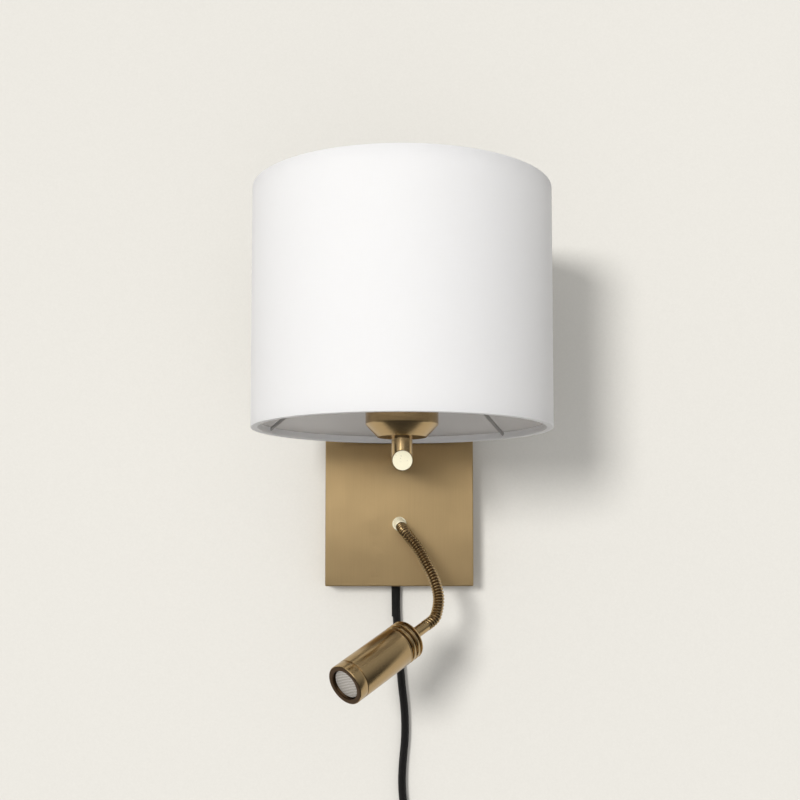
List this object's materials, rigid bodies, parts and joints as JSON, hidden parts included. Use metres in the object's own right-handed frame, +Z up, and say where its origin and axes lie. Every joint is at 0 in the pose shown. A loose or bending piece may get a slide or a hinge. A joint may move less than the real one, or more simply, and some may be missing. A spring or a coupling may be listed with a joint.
{
  "type": "bedside wall reading lamp",
  "caption": "Square wall plate with an upright drum-shaded lamp on a short arm, a bendable gooseneck reading light and a hanging cord with a plug.",
  "frame": {"origin": "centre of the square wall plate's back edge plane, on the wall", "axes": "+X right, +Y into the wall, +Z up; the lamp reaches out towards -Y"},
  "size_m": [0.2, 0.222, 0.6],
  "materials": {
    "brushed_brass": "brushed satin, aged",
    "polished_brass": "polished",
    "zinc_steel": "zinc plated",
    "nickel": "nickel plated",
    "black_plastic": "moulded",
    "white_plastic": "moulded",
    "ceramic": "glazed ceramic",
    "shade_cloth": "linen weave",
    "shade_film": "translucent film",
    "coated_wire": "white epoxy coat",
    "frosted_glass": "frosted",
    "lens_glass": "pressed clear",
    "reflector": "metallised",
    "aluminium": "machined",
    "led_phosphor": "phosphor",
    "black_baffle": "satin black",
    "black_rubber": "matt",
    "textile_cord": "black braid over PVC",
    "wire_pvc": "PVC"
  },
  "bodies": {
    "wall_unit": {"wall_plate_cover": "brushed_brass", "wall_bracket": "zinc_steel", "cover_screws": "brushed_brass", "led_driver": "white_plastic", "terminal_block": "white_plastic", "terminal_screws": "zinc_steel", "cord_clamp": "black_plastic", "clamp_screws": "zinc_steel", "cord_grommet": "black_rubber", "cord_sleeve": "black_rubber", "mains_wires": "wire_pvc", "driver_leads": "wire_pvc", "lamp_lead": "wire_pvc", "arm_tube": "brushed_brass", "arm_nipple": "zinc_steel", "arm_washer": "zinc_steel", "arm_nut": "zinc_steel", "switch_body": "black_plastic", "riser_tube": "brushed_brass", "riser_nipple": "zinc_steel", "riser_nut": "zinc_steel", "holder_cup": "brushed_brass", "lampholder_base": "black_plastic", "lampholder_insulator": "ceramic", "lampholder_contact": "nickel", "lampholder_shell": "nickel", "lampholder_skirt": "black_plastic", "shade_ring": "black_plastic", "bulb_cap": "nickel", "bulb_glass": "frosted_glass", "shade_fabric": "shade_cloth", "shade_lining": "shade_film", "shade_top_ring": "coated_wire", "shade_frame": "coated_wire", "neck_bushing": "brushed_brass", "bushing_nut": "zinc_steel", "cord": "textile_cord", "cord_coil": "textile_cord", "plug_body": "black_plastic", "plug_pins": "nickel", "coil_tie": "black_rubber", "neck_link_1": "brushed_brass"},
    "neck_2": {"neck_link_2": "brushed_brass"},
    "neck_3": {"neck_link_3": "brushed_brass"},
    "neck_4": {"neck_link_4": "brushed_brass"},
    "neck_5": {"neck_link_5": "brushed_brass"},
    "neck_6": {"neck_link_6": "brushed_brass"},
    "reading_head": {"head_rear_cap": "brushed_brass", "head_body": "brushed_brass", "head_bezel": "brushed_brass", "head_baffle": "black_baffle", "head_lens": "lens_glass", "head_reflector": "reflector", "neck_stem": "brushed_brass", "led_board": "aluminium", "led_chip": "led_phosphor", "heat_sink": "aluminium", "neck_link_7": "brushed_brass"},
    "button": {"switch_button": "polished_brass"}
  },
  "joints": [
    {"name": "neck_bend", "type": "hinge", "parent": "wall_unit", "child": "neck_2", "pos_m": [0.00597, -0.03534, -0.01778], "axis": [-0.7303, -0.6831, 0], "range_deg": [-15, 15]},
    {"name": "neck_sway", "type": "hinge", "parent": "neck_2", "child": "neck_3", "pos_m": [0.01341, -0.0417, -0.02757], "axis": [0.5278, -0.5326, 0.6617], "range_deg": [-15, 15]},
    {"name": "neck_bend_2", "type": "hinge", "parent": "neck_3", "child": "neck_4", "pos_m": [0.01919, -0.0482, -0.03837], "axis": [-0.7356, -0.6774, 0], "range_deg": [-15, 15]},
    {"name": "neck_sway_2", "type": "hinge", "parent": "neck_4", "child": "neck_5", "pos_m": [0.02448, -0.05365, -0.04997], "axis": [0.5796, -0.649, 0.4928], "range_deg": [-15, 15]},
    {"name": "neck_bend_3", "type": "hinge", "parent": "neck_5", "child": "neck_6", "pos_m": [0.02722, -0.05887, -0.06246], "axis": [-0.997, -0.0779, 0], "range_deg": [-15, 15]},
    {"name": "neck_sway_3", "type": "hinge", "parent": "neck_6", "child": "reading_head", "pos_m": [0.02504, -0.06506, -0.07456], "axis": [-0.4444, -0.6339, 0.633], "range_deg": [-15, 15]},
    {"name": "button_press", "type": "slide", "parent": "wall_unit", "child": "button", "axis": [0, 0.9966, 0.0819], "range_m": [0, 0.0018], "stiffness_N_per_m": 600, "springref_m": -0.0006}
  ],
  "couplings": [
    {"joint": "neck_bend_2", "follows": "neck_bend", "ratio": 1},
    {"joint": "neck_sway_2", "follows": "neck_sway", "ratio": 1},
    {"joint": "neck_bend_3", "follows": "neck_bend", "ratio": 1},
    {"joint": "neck_sway_3", "follows": "neck_sway", "ratio": 1}
  ]
}
